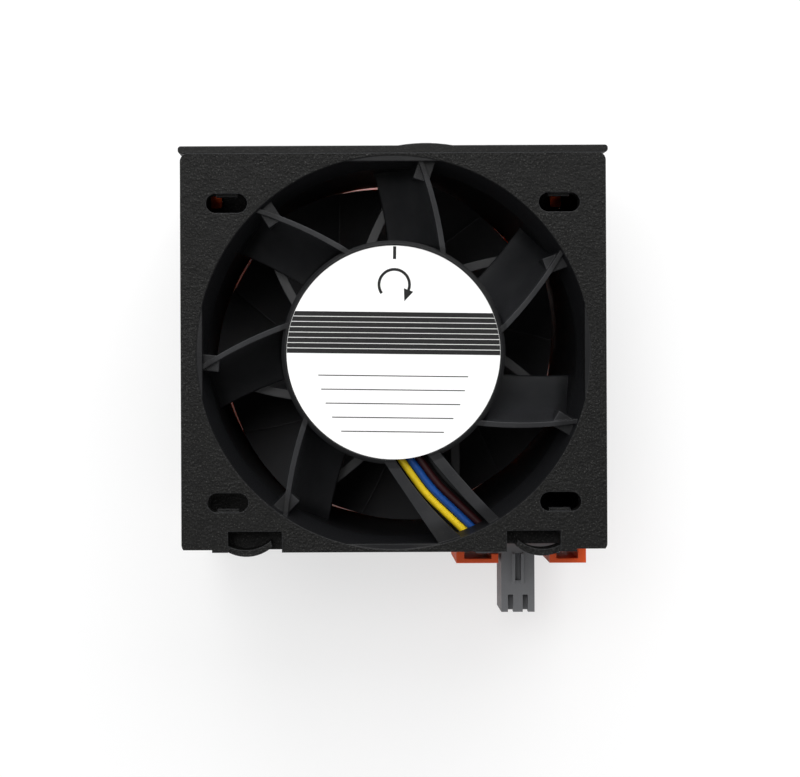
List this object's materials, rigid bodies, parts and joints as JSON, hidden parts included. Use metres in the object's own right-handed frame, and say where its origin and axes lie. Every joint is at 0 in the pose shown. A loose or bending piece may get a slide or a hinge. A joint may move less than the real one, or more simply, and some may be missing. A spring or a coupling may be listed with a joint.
{
  "type": "hot-swap axial fan module",
  "caption": "Square axial fan module with outlet guide vanes, labelled hub, lead-wire trough, clipped inlet guard and a floating blind-mate connector below.",
  "frame": {"origin": "on the rotor's axis, in the plane of the inlet guard that the module lies on", "axes": "+Z along the rotor's axis out of the outlet side, +Y to the top plate, the connector hangs at -Y, +X completes the right-handed set"},
  "size_m": [0.0646, 0.0737, 0.04],
  "materials": {
    "frame_plastic": "fine-grained black moulding",
    "top_plate": "fine-grained black moulding",
    "guard_plastic": "smooth orange moulding",
    "bracket_plastic": "smooth orange moulding",
    "label_film": "printed white film",
    "rotor_plastic": "smooth black moulding",
    "yoke_steel": "drawn steel",
    "magnet": "bonded ferrite",
    "shaft_steel": "ground steel",
    "bearing_steel": "ground steel",
    "spring_steel": "spring steel",
    "sleeve_brass": "turned brass",
    "core_steel": "stacked laminations",
    "insulator": "natural nylon",
    "copper": "enamelled copper wire",
    "board": "solder mask",
    "chip": "moulded epoxy",
    "capacitor_can": "sleeved aluminium can",
    "connector_plastic": "smooth grey moulding",
    "contact": "plated contact",
    "yellow_sheath": "wire sheath",
    "blue_sheath": "wire sheath",
    "red_sheath": "wire sheath",
    "black_sheath": "wire sheath"
  },
  "bodies": {
    "frame": {"fan_housing": "frame_plastic", "top_plate": "top_plate", "inlet_guard": "guard_plastic", "hub_label": "label_film", "lower_bearing_outer": "bearing_steel", "upper_bearing_outer": "bearing_steel", "bearing_sleeve": "sleeve_brass", "stator_core": "core_steel", "upper_insulator": "insulator", "lower_insulator": "insulator", "stator_coils": "copper", "circuit_board": "board", "driver_chip": "chip", "hall_sensor": "chip", "filter_capacitor": "capacitor_can", "connector_bracket": "bracket_plastic", "yellow_wire": "yellow_sheath", "blue_wire": "blue_sheath", "red_wire": "red_sheath", "black_wire": "black_sheath"},
    "rotor": {"impeller": "rotor_plastic", "rotor_yoke": "yoke_steel", "rotor_magnet": "magnet", "rotor_shaft": "shaft_steel", "lower_bearing_inner": "bearing_steel", "upper_bearing_inner": "bearing_steel", "shaft_bush": "shaft_steel", "preload_washer": "spring_steel", "retaining_ring": "spring_steel"},
    "connector": {"connector_housing": "connector_plastic", "connector_contacts": "contact"}
  },
  "joints": [
    {"name": "rotor_spin", "type": "hinge", "parent": "frame", "child": "rotor", "pos_m": [0, 0, 0.015], "axis": [0, 0, 1], "continuous": true},
    {"name": "connector_float", "type": "slide", "parent": "frame", "child": "connector", "axis": [1, 0, 0], "range_m": [-0.0004, 0.0022]}
  ]
}
